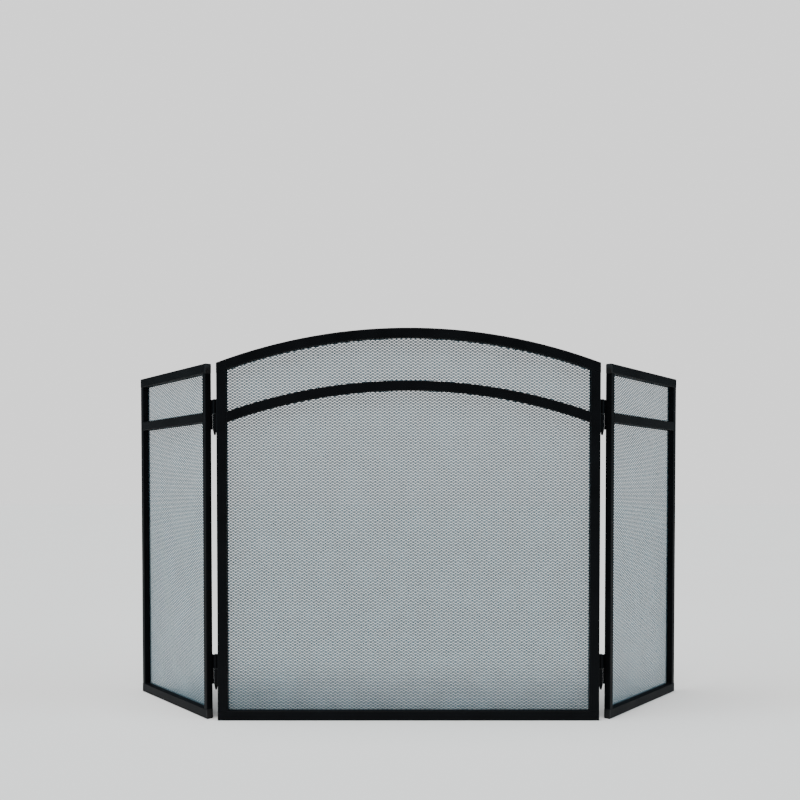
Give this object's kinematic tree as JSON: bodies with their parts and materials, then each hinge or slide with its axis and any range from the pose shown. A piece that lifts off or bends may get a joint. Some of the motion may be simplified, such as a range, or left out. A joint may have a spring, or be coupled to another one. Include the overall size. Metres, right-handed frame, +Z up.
{
  "type": "fireplace screen",
  "caption": "Folding fireplace screen: arched centre panel with rectangular side wings of black steel tube and expanded mesh, on lift-off hinges.",
  "frame": {"origin": "middle of the centre panel's underside, where the bottom rail rests on the hearth", "axes": "+Z up, +X to the right seen from the room, -Y towards the room and +Y towards the fire"},
  "size_m": [1.1886, 0.2484, 0.7619],
  "materials": {
    "frame_black": "satin black powder coat",
    "strip_black": "satin black powder coat",
    "hinge_black": "satin black powder coat over weld-on hinge",
    "rivet_black": "black painted blind rivet",
    "mesh_grey": "dark grey painted expanded steel mesh",
    "pin_steel": "bright turned steel",
    "washer_nylon": "turned black nylon",
    "plug_plastic": "moulded black polyethylene"
  },
  "bodies": {
    "centre_panel": {"centre_left_stile": "frame_black", "centre_right_stile": "frame_black", "centre_bottom_rail": "frame_black", "centre_top_arch": "frame_black", "centre_lower_arch": "frame_black", "centre_mesh": "mesh_grey", "centre_left_strip": "strip_black", "centre_right_strip": "strip_black", "centre_bottom_strip": "strip_black", "centre_top_strip": "strip_black", "centre_lower_arch_strip": "strip_black", "centre_rivets": "rivet_black", "centre_end_plugs": "plug_plastic", "centre_left_upper_barrel": "hinge_black", "centre_left_lower_barrel": "hinge_black", "centre_right_upper_barrel": "hinge_black", "centre_right_lower_barrel": "hinge_black", "left_upper_pin": "pin_steel", "left_lower_pin": "pin_steel", "right_upper_pin": "pin_steel", "right_lower_pin": "pin_steel"},
    "left_hinge_washers": {"left_washers": "washer_nylon"},
    "left_wing": {"left_inner_stile": "frame_black", "left_outer_stile": "frame_black", "left_top_rail": "frame_black", "left_middle_rail": "frame_black", "left_bottom_rail": "frame_black", "left_mesh": "mesh_grey", "left_inner_strip": "strip_black", "left_outer_strip": "strip_black", "left_top_strip": "strip_black", "left_middle_strip": "strip_black", "left_bottom_strip": "strip_black", "left_rivets": "rivet_black", "left_end_plugs": "plug_plastic", "left_upper_barrel": "hinge_black", "left_lower_barrel": "hinge_black"},
    "right_hinge_washers": {"right_washers": "washer_nylon"},
    "right_wing": {"right_inner_stile": "frame_black", "right_outer_stile": "frame_black", "right_top_rail": "frame_black", "right_middle_rail": "frame_black", "right_bottom_rail": "frame_black", "right_mesh": "mesh_grey", "right_inner_strip": "strip_black", "right_outer_strip": "strip_black", "right_top_strip": "strip_black", "right_middle_strip": "strip_black", "right_bottom_strip": "strip_black", "right_rivets": "rivet_black", "right_end_plugs": "plug_plastic", "right_upper_barrel": "hinge_black", "right_lower_barrel": "hinge_black"}
  },
  "joints": [
    {"name": "left_wing_fold", "type": "hinge", "parent": "centre_panel", "child": "left_hinge_washers", "pos_m": [-0.378, 0.01035, 0], "axis": [0, 0, -1], "range_deg": [-90, 131]},
    {"name": "left_wing_lift", "type": "slide", "parent": "left_hinge_washers", "child": "left_wing", "axis": [0, 0, 1], "range_m": [0, 0.022]},
    {"name": "right_wing_fold", "type": "hinge", "parent": "centre_panel", "child": "right_hinge_washers", "pos_m": [0.378, 0.01035, 0], "axis": [0, 0, 1], "range_deg": [-90, 131]},
    {"name": "right_wing_lift", "type": "slide", "parent": "right_hinge_washers", "child": "right_wing", "axis": [0, 0, 1], "range_m": [0, 0.022]}
  ]
}
